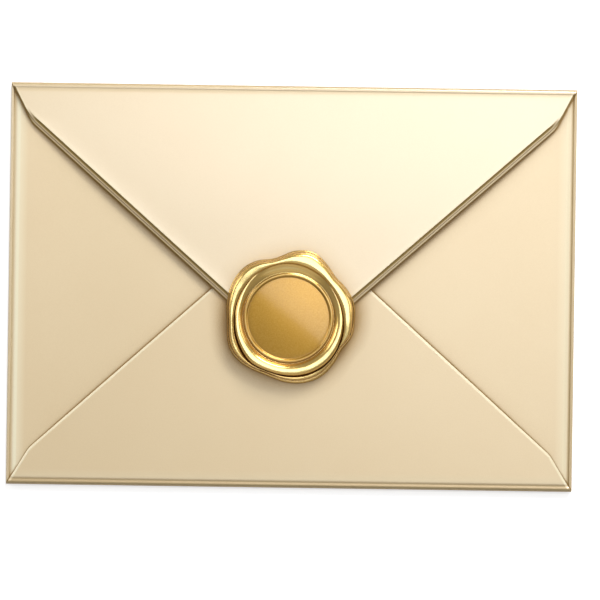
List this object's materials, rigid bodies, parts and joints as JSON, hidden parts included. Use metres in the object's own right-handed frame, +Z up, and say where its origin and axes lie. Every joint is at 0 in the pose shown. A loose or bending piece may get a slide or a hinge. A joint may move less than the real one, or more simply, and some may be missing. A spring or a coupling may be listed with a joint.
{
  "type": "sealed paper envelope",
  "caption": "Closed letter envelope of pearl card with pointed flaps, held by a stamped wax seal.",
  "frame": {"origin": "middle of the address side, on the surface that the envelope lies on", "axes": "+X along the long side, +Y towards the fold of the top flap, +Z up through the seal"},
  "size_m": [0.162, 0.115, 0.0058],
  "materials": {
    "pearl_card": "pearlescent champagne card with a fine shimmer",
    "gold_wax": "glossy gold sealing wax with a satin stamped floor"
  },
  "bodies": {
    "root": {"envelope": "pearl_card", "wax_seal": "gold_wax"}
  },
  "joints": []
}
